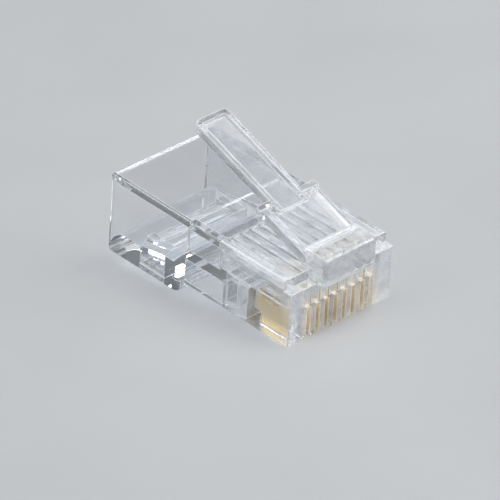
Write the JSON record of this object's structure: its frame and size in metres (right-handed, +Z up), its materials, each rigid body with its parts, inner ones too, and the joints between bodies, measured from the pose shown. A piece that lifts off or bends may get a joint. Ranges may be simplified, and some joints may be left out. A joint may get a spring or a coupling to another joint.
{
  "type": "modular cable plug",
  "caption": "Clear modular network plug with spring latch, gold-plated blade contacts, conductor guides and strain-relief bars, uncrimped",
  "frame": {"origin": "on the plane that the heel stands on, under the middle of the overall length and width", "axes": "+Z up through the latch side, +Y towards the cable entry, the plug enters its jack along -Y, +X across the contacts"},
  "size_m": [0.0116, 0.0224, 0.0136],
  "materials": {
    "clear_housing": "clear polished moulded polycarbonate",
    "clear_latch": "clear moulded polycarbonate with faint flow marks",
    "clear_clamp": "clear moulded polycarbonate",
    "contact_gold": "gold-plated stamped phosphor bronze"
  },
  "bodies": {
    "housing": {"housing": "clear_housing"},
    "latch": {"latch": "clear_latch"},
    "conductor_clamp": {"conductor_clamp": "clear_clamp"},
    "jacket_clamp": {"jacket_clamp": "clear_clamp"},
    "contact_1": {"contact_1": "contact_gold"},
    "contact_2": {"contact_2": "contact_gold"},
    "contact_3": {"contact_3": "contact_gold"},
    "contact_4": {"contact_4": "contact_gold"},
    "contact_5": {"contact_5": "contact_gold"},
    "contact_6": {"contact_6": "contact_gold"},
    "contact_7": {"contact_7": "contact_gold"},
    "contact_8": {"contact_8": "contact_gold"}
  },
  "joints": [
    {"name": "latch_flex", "type": "hinge", "parent": "housing", "child": "latch", "pos_m": [0, -0.00872, 0.00821], "axis": [-1, 0, 0], "range_deg": [0, 15], "stiffness_Nm_per_rad": 0.2},
    {"name": "conductor_clamp_press", "type": "slide", "parent": "housing", "child": "conductor_clamp", "axis": [0, 0, 1], "range_m": [0, 0.0005]},
    {"name": "jacket_clamp_press", "type": "slide", "parent": "housing", "child": "jacket_clamp", "axis": [0, 0, 1], "range_m": [0, 0.001]},
    {"name": "contact_1_press", "type": "slide", "parent": "housing", "child": "contact_1", "axis": [0, 0, 1], "range_m": [0, 0.0006]},
    {"name": "contact_2_press", "type": "slide", "parent": "housing", "child": "contact_2", "axis": [0, 0, 1], "range_m": [0, 0.0006]},
    {"name": "contact_3_press", "type": "slide", "parent": "housing", "child": "contact_3", "axis": [0, 0, 1], "range_m": [0, 0.0006]},
    {"name": "contact_4_press", "type": "slide", "parent": "housing", "child": "contact_4", "axis": [0, 0, 1], "range_m": [0, 0.0006]},
    {"name": "contact_5_press", "type": "slide", "parent": "housing", "child": "contact_5", "axis": [0, 0, 1], "range_m": [0, 0.0006]},
    {"name": "contact_6_press", "type": "slide", "parent": "housing", "child": "contact_6", "axis": [0, 0, 1], "range_m": [0, 0.0006]},
    {"name": "contact_7_press", "type": "slide", "parent": "housing", "child": "contact_7", "axis": [0, 0, 1], "range_m": [0, 0.0006]},
    {"name": "contact_8_press", "type": "slide", "parent": "housing", "child": "contact_8", "axis": [0, 0, 1], "range_m": [0, 0.0006]}
  ]
}
